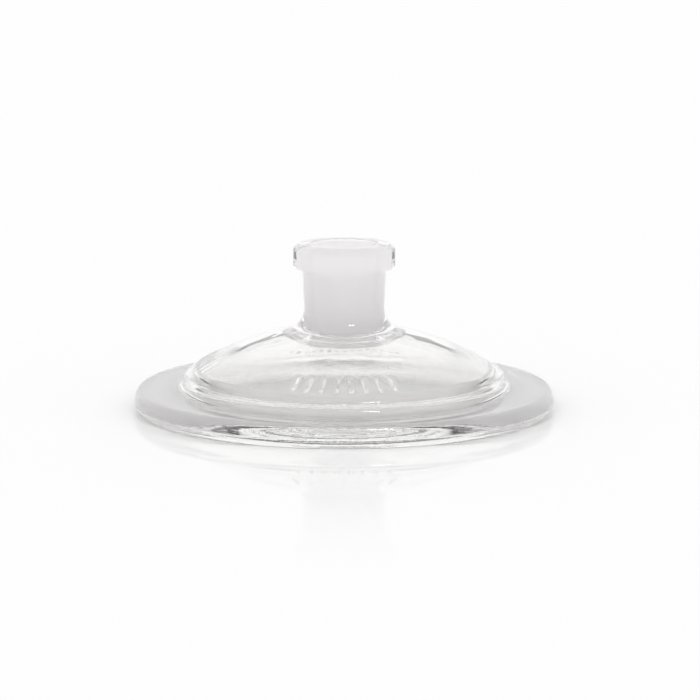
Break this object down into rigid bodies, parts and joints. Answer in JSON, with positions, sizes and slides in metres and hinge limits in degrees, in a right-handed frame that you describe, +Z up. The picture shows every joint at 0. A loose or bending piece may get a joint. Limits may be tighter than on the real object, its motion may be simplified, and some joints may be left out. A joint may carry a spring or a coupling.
{
  "type": "desiccator lid",
  "caption": "Low domed glass desiccator lid with a thick ground flange and a beaded conical ground-joint socket on its crown.",
  "frame": {"origin": "on the axis, in the plane of the ground face under the flange, which is what the lid stands on", "axes": "+Z up along the axis, out of the socket's mouth; the lid is round, so X and Y are free"},
  "size_m": [0.153, 0.153, 0.0601],
  "materials": {
    "pressed_glass": "clear pressed borosilicate glass, slightly wavy and finely grained from the mould; the flange's underside is ground matt",
    "joint_glass": "clear fire-polished borosilicate glass outside; the conical bore is ground matt, which shows white through the wall"
  },
  "bodies": {
    "root": {"pressed_lid": "pressed_glass", "ground_joint_socket": "joint_glass"}
  },
  "joints": []
}
